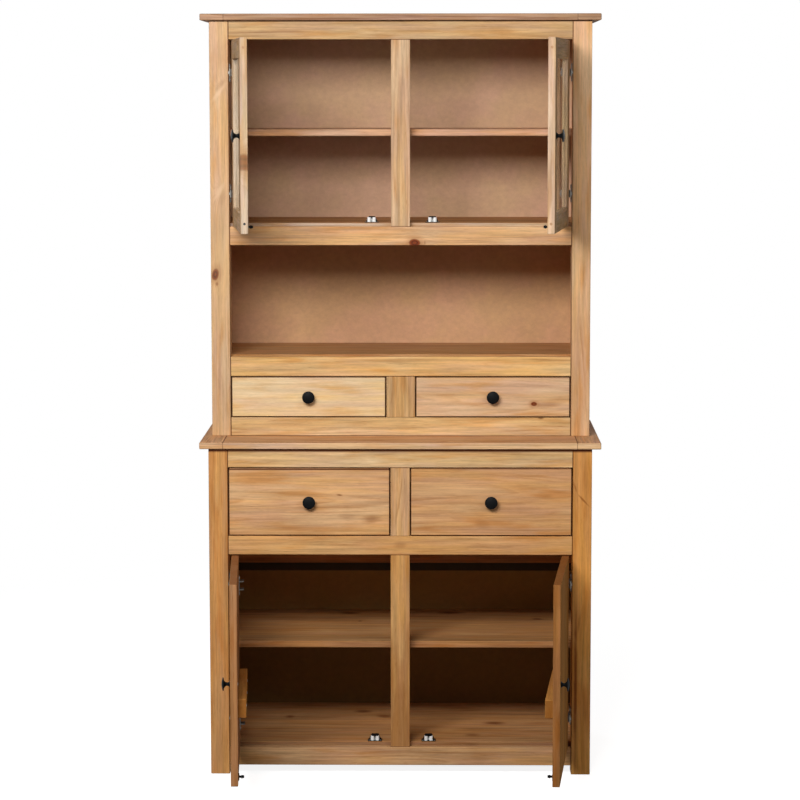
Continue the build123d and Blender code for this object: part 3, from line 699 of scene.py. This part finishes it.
pane, glass = material("window_glass")
haze = glass.specks(14, 3.0)
surface(
    glass, haze, 0.00005, Base_Color=(0.965, 0.985, 0.975, 1),
    Roughness=haze.rise(0.45, 0.8) * 0.05 + 0.01, Transmission_Weight=1.0, IOR=1.5,
)
for name, door in doors.items():
    if door["upper"]:
        dress(f"{name}_glass", pane)

# --- Ironwork, hinges and catches ------------------------------------------------------
# Knobs, spears and catch bodies in black lacquered iron; nickel-plated concealed hinges and
# shelf pins; white nylon rollers.

black, lacquer = material("black_lacquer")
grit, rub = lacquer.specks(1500), lacquer.specks(160)
worn = lacquer.mix(rub.rise(0.55, 0.85) * 0.4, (0.005, 0.0055, 0.006, 1), (0.012, 0.012, 0.013, 1))
surface(
    lacquer, grit, 0.00012,
    Base_Color=worn, Roughness=0.42 + rub * 0.2, Specular_IOR_Level=0.08,
)
nickel, plating = material("nickel_plate")
x, y, z = plating.place()
brush = plating.noise((x * 900, y * 900, z * 90), 2.0, 0.6)
surface(
    plating, brush, 0.00005,
    Base_Color=plating.mix(brush, (0.2, 0.19, 0.17, 1), (0.3, 0.29, 0.27, 1)),
    Metallic=1.0, Roughness=0.36 + brush * 0.2,
)
white, nylon = material("white_nylon")
scuff = nylon.specks(400)
surface(
    nylon, scuff, 0.0001,
    Base_Color=nylon.mix(scuff.rise(0.4, 0.8) * 0.5, (0.84, 0.84, 0.82, 1), (0.7, 0.69, 0.66, 1)),
    Roughness=0.3 + scuff * 0.2,
)
dress("hinge_plates", nickel)
dress("shelf_pins", nickel)
dress("catch_bodies", black)
dress("catch_rollers", white)
for name in doors:
    dress(f"{name}_hinges", nickel)
    dress(f"{name}_knob_and_spear", black)
for drawer in fronts:
    dress(f"{drawer}_knob", black)

# --- Screws, nails and dowel ends ------------------------------------------------------
# Plated cross-head screws hold the hinges, catches, spears, battens and knobs; wire nails hold
# the backs and the drawer boxes; the dowels of the glazed doors show at their free edges.


def head_tree(name, metal, hollow_shade):
    """Sets a bevelled round head on every point, facing as the point says, with a thin cross on its top
    in the second finish, which for screws is painted shade standing in for the cross recess.
    """
    tree = bpy.data.node_groups.new(name, "GeometryNodeTree")
    tree.is_modifier = True
    recipe = Recipe(tree)
    tree.interface.new_socket("Geometry", in_out="INPUT", socket_type="NodeSocketGeometry")
    for size in ("Head Radius", "Head Height", "Recess"):
        tree.interface.new_socket(size, in_out="INPUT", socket_type="NodeSocketFloat")
    tree.interface.new_socket("Geometry", in_out="OUTPUT", socket_type="NodeSocketGeometry")
    start = tree.nodes.new("NodeGroupInput")
    points, radius, height, recess = (Field(recipe, start.outputs[i]) for i in range(4))
    head = recipe.add(
        "GeometryNodeMeshCone", {},
        {"Vertices": 20, "Radius Top": radius * 0.7, "Radius Bottom": radius, "Depth": height},
    )
    arm, bar = radius * recess * 1.1, radius * recess * 0.3
    bars = [
        recipe.add("GeometryNodeMeshCube", {}, {"Size": recipe.join(*size, height * 0.1)})
        for size in ((arm, bar), (bar, arm))
    ]
    cross = recipe.add("GeometryNodeJoinGeometry", {}, {0: bars})
    lift = recipe.join(0.0, 0.0, height)
    cross = recipe.add("GeometryNodeTransform", {}, {"Geometry": cross, "Translation": lift})
    as_vector = {"data_type": "FLOAT_VECTOR"}
    facing = recipe.add("GeometryNodeInputNamedAttribute", as_vector, {"Name": "facing"})
    turned = recipe.add("FunctionNodeAlignRotationToVector", {"axis": "Z"}, {"Vector": facing})
    parts = []
    for shape, finish in ((head, metal), (cross, hollow_shade)):
        set_down = recipe.add(
            "GeometryNodeInstanceOnPoints", {}, {"Points": points, "Instance": shape, "Rotation": turned}
        )
        solid = recipe.add("GeometryNodeRealizeInstances", {}, {"Geometry": set_down})
        parts.append(recipe.add("GeometryNodeSetMaterial", {}, {"Geometry": solid, "Material": finish}))
    end = tree.nodes.new("NodeGroupOutput")
    tree.links.new(recipe.add("GeometryNodeJoinGeometry", {}, {0: parts}).socket, end.inputs[0])
    return tree


def set_heads(body, kind, tree, head, spots):
    """One piece of the body: the heads of all its screws, nails or dowels of one kind.

    head is its radius, its height and how large its cross is; spots are places with directions."""
    mesh = bpy.data.meshes.new(f"{body}_{kind}")
    mesh.from_pydata([tuple(place) for place, _ in spots], [], [])
    facing = mesh.attributes.new("facing", "FLOAT_VECTOR", "POINT")
    for item, (_, direction) in zip(facing.data, spots):
        item.vector = direction
    piece = bpy.data.objects.new(f"{body}_{kind}", mesh)
    bpy.context.scene.collection.objects.link(piece)
    heads = piece.modifiers.new("heads", "NODES")
    heads.node_group = tree
    sizes = dict(zip(("Head Radius", "Head Height", "Recess"), head))
    for socket in tree.interface.items_tree:
        if socket.name in sizes:
            heads[socket.identifier] = sizes[socket.name]
    bpy.context.view_layer.update()
    evaluated = piece.evaluated_get(bpy.context.evaluated_depsgraph_get())
    finished = bpy.data.meshes.new_from_object(evaluated)
    piece.modifiers.clear()
    piece.data = finished
    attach(piece, body)


# Painted shade: near-black for the crosses on the screw heads and for the open bore, standing in for the
# shade inside a hollow.
recess_shade, recess_shade_paint = material("screw_recess_shade")
recess_specks = recess_shade_paint.specks(2500)
surface(recess_shade_paint, Base_Color=(0.02, 0.018, 0.016, 1), Roughness=0.5 + recess_specks * 0.3)
zinc, galvanised = material("zinc_plate")
bloom = galvanised.specks(700, 3.0)
surface(
    galvanised, bloom, 0.00005,
    Base_Color=galvanised.mix(bloom, (0.5, 0.47, 0.4, 1), (0.62, 0.6, 0.55, 1)),
    Metallic=1.0, Roughness=0.25 + bloom * 0.3,
)
peg, end_grain = material("dowel_end")
pores = end_grain.specks(1900, 3.0)
pale, deep = (*shade(196, 152, 112), 1), (*shade(148, 104, 70), 1)
surface(
    end_grain, pores, 0.0002,
    Base_Color=end_grain.mix(pores.rise(0.35, 0.7), pale, deep), Roughness=0.6 + pores * 0.2,
)
screw_tree = head_tree("screw_head", zinc, recess_shade)
dowel_tree = head_tree("dowel_end", peg, peg)
bore_tree = head_tree("open_bore", recess_shade, recess_shade)


def catch_place(door):
    """The middle, the front and the foot of the catch that a door shuts on."""
    above_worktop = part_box("worktop")[1].z
    points = [vertex.co for vertex in nodes["catch_bodies"].data.vertices]
    points = [p for p in points if p.x * door["side"] > 0 and (p.z > above_worktop) == door["upper"]]
    x, y, z = zip(*points)
    return (min(x) + max(x)) / 2, min(y), min(z)


# Radius, height and size of the cross of each kind of head.
screw_head, fine_screw_head = (0.0034, 0.001, 1.0), (0.0019, 0.0006, 1.0)
knob_screw_head = (0.004, 0.0014, 1.0)
nail_head, brad_head = (0.0017, 0.0004, 0.0), (0.0014, 0.0003, 0.0)
peg_end, bore_mouth = (0.003, 0.0001, 0.0), (0.0028, 0.0001, 0.0)
# Places on a door: distance from the hinge edge, depth behind the face, height above its foot.
cup_at, cup_depth, cup_spread = 0.018, 0.0175, 0.018
knob_at, door_inside = 0.34, 0.016
batten_at, batten_depth, batten_height = (0.06, 0.18, 0.3), 0.034, 0.164
peg_depth, peg_from_end = 0.008, 0.0215
spear_depth, spear_height, spear_spread = 0.018, 0.013, 0.0065
# Places on the case: gap beside a post, depths behind a front, height above a catch's foot.
running_gap, plate_depth, plate_spread = 0.002, 0.031, 0.014
ear_depth, ear_height, ear_spread = 0.006, 0.0015, 0.0132

plate_screws, catch_screws = [], []
for name, door in doors.items():
    side, inward, bottom = door["side"], door["inward"], door["corner"].z
    large = [
        (on_leaf(door, cup_at, cup_depth, hinge + rise), inward)
        for hinge in door["hinges"] for rise in (-cup_spread, cup_spread)
    ]
    large.append((on_leaf(door, knob_at, door_inside, door["tall"] / 2), inward))
    if door["upper"]:
        pegs = [
            (on_leaf(door, door["wide"], peg_depth, height), door["along"])
            for height in (peg_from_end, door["tall"] - peg_from_end)
        ]
        if name == "upper_left_door":  # its lower peg is missing, so the bore shows, as a dark disc of painted shade
            set_heads(name, "open_bore", bore_tree, bore_mouth, [pegs.pop(0)])
        set_heads(name, "dowel_ends", dowel_tree, peg_end, pegs)
    else:
        large += [(on_leaf(door, at, batten_depth, batten_height), inward) for at in batten_at]
    set_heads(name, "screws", screw_tree, screw_head, large)
    catch_middle, catch_front, catch_foot = catch_place(door)
    spear_at = post_inner - running_gap - abs(catch_middle)
    small = [
        (on_leaf(door, spear_at + aside, spear_depth, spear_height), inward)
        for aside in (-spear_spread, spear_spread)
    ]
    set_heads(name, "spear_screws", screw_tree, fine_screw_head, small)
    plate_x, plate_y = side * (post_inner - running_gap), door["front"] + plate_depth
    plate_screws += [
        ((plate_x, plate_y, bottom + hinge + rise), (-side, 0, 0))
        for hinge in door["hinges"] for rise in (-plate_spread, plate_spread)
    ]
    catch_screws += [
        ((catch_middle + aside, catch_front + ear_depth, catch_foot + ear_height), up)
        for aside in (-ear_spread, ear_spread)
    ]
set_heads("case", "hinge_plate_screws", screw_tree, screw_head, plate_screws)
set_heads("case", "catch_screws", screw_tree, fine_screw_head, catch_screws)

back_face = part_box("upper_back_panel")[1].y
nail_step = 0.078
backward = (0, 1, 0)
nails = []
for node in ("lower_floor", "lower_back_rail", "niche_shelf", "upper_floor"):
    low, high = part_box(node)
    nails += [((nail_step * i, back_face, (low.z + high.z) / 2), backward) for i in range(-5, 6)]
set_heads("case", "back_nails", screw_tree, nail_head, nails)
for drawer in fronts:
    low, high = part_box(f"{drawer}_front")
    knob_screw = [(((low.x + high.x) / 2, high.y, (low.z + high.z) / 2), backward)]
    set_heads(drawer, "knob_screw", screw_tree, knob_screw_head, knob_screw)
    low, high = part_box(f"{drawer}_box")
    brad_y = high.y - 0.006
    rows = (low.z + 0.018, (low.z + high.z) / 2, high.z - 0.016)
    brads = [((x, brad_y, z), (way, 0, 0)) for x, way in ((low.x, -1), (high.x, 1)) for z in rows]
    set_heads(drawer, "brads", screw_tree, brad_head, brads)

# --- Floor, light and camera -----------------------------------------------------------
# A white floor that fades into a white surround, a large soft lamp above and in front, a
# little from the left, a weak fill from the right and two soft lamps behind.


def seen_by(recipe):
    """1 for what the camera sees, also through glass, less for what is mirrored, 0 for other light."""
    path = recipe.tree.nodes.new("ShaderNodeLightPath")
    straight, through, mirrored = (
        Field(recipe, path.outputs[f"Is {ray} Ray"]) for ray in ("Camera", "Transmission", "Glossy")
    )
    return (straight + through + mirrored * 0.45).math("MINIMUM", 1)


floor_mesh = bpy.data.meshes.new("floor")
reach = 14
corners = [(-reach, -reach, 0), (reach, -reach, 0), (reach, reach, 0), (-reach, reach, 0)]
floor_mesh.from_pydata(corners, [], [(0, 1, 2, 3)])
floor = bpy.data.objects.new("floor", floor_mesh)
bpy.context.scene.collection.objects.link(floor)
paint, ground = material("studio_floor")
pure_white = (1, 1, 1, 1)
x, y, _ = ground.place()
far = ((x * x + y * y) ** 0.5).rise(0.9, 2.6)
glow = ground.add("ShaderNodeEmission", {}, {"Color": pure_white, "Strength": 1.0})
dull = ground.add("ShaderNodeBsdfDiffuse", {}, {"Color": (0.25, 0.23, 0.21, 1)})
lit = ground.add("ShaderNodeBsdfDiffuse", {}, {"Color": (0.6, 0.6, 0.6, 1)})
faint = ground.add("ShaderNodeEmission", {}, {"Color": pure_white, "Strength": 0.86})
soft = ground.add("ShaderNodeAddShader", {}, {0: lit, 1: faint})
near = ground.add("ShaderNodeMixShader", {}, {0: far, 1: soft, 2: glow})
whole = ground.add("ShaderNodeMixShader", {}, {0: seen_by(ground), 1: dull, 2: near})
end = ground.tree.nodes.new("ShaderNodeOutputMaterial")
ground.tree.links.new(whole.socket, end.inputs["Surface"])
floor_mesh.materials.append(paint)

world = bpy.data.worlds.new("studio")
world.use_nodes = True
bpy.context.scene.world = world
sky = Recipe(world.node_tree)
brightness = seen_by(sky) * 0.95 + 0.05
air = sky.add("ShaderNodeBackground", {}, {"Color": pure_white, "Strength": brightness})
end = sky.tree.nodes.new("ShaderNodeOutputWorld")
sky.tree.links.new(air.socket, end.inputs["Surface"])


def lamp(name, place, aim, wide, high, power):
    """A soft lamp that stands at a place and faces another."""
    light = bpy.data.lights.new(name, "AREA")
    light.shape = "RECTANGLE"
    light.size, light.size_y, light.energy = wide, high, power
    holder = bpy.data.objects.new(name, light)
    holder.location = place
    holder.rotation_mode = "QUATERNION"
    holder.rotation_quaternion = (Vector(aim) - Vector(place)).to_track_quat("-Z", "Y")
    bpy.context.scene.collection.objects.link(holder)


lamp("key_softbox", (-0.85, -2.9, 2.45), (0, 0.1, 1.0), 1.8, 0.9, 112)
lamp("fill_softbox", (2.0, -3.2, 2.3), (0, 0.1, 0.9), 1.6, 1.2, 21)
lamp("rear_left_softbox", (-2.7, 3.4, 1.7), (0, 0.4, 0.9), 1.4, 1.2, 24)
lamp("rear_right_softbox", (2.7, 3.4, 1.7), (0, 0.4, 0.9), 1.4, 1.2, 24)

yaw, pitch, roll = 0.0131158, 0.1149449, -0.000713
stand = Vector((0.078137, -5.990293, 1.543953))
focal_pixels, frame_pixels, sensor = 2685.634, 800, 36
forward = Vector(
    (-math.sin(yaw) * math.cos(pitch), math.cos(yaw) * math.cos(pitch), -math.sin(pitch))
)
level = Vector((math.cos(yaw), math.sin(yaw), 0))
plumb = level.cross(forward)
right = level * math.cos(roll) + plumb * math.sin(roll)
above = plumb * math.cos(roll) - level * math.sin(roll)
camera = bpy.data.objects.new("camera", bpy.data.cameras.new("camera"))
camera.data.sensor_width = sensor
camera.data.lens = focal_pixels / frame_pixels * sensor
camera.data.clip_end = 60
camera.matrix_world = Matrix.Translation(stand) @ Matrix((right, above, -forward)).transposed().to_4x4()
bpy.context.scene.collection.objects.link(camera)
bpy.context.scene.camera = camera
bpy.context.scene.view_settings.view_transform = "Standard"
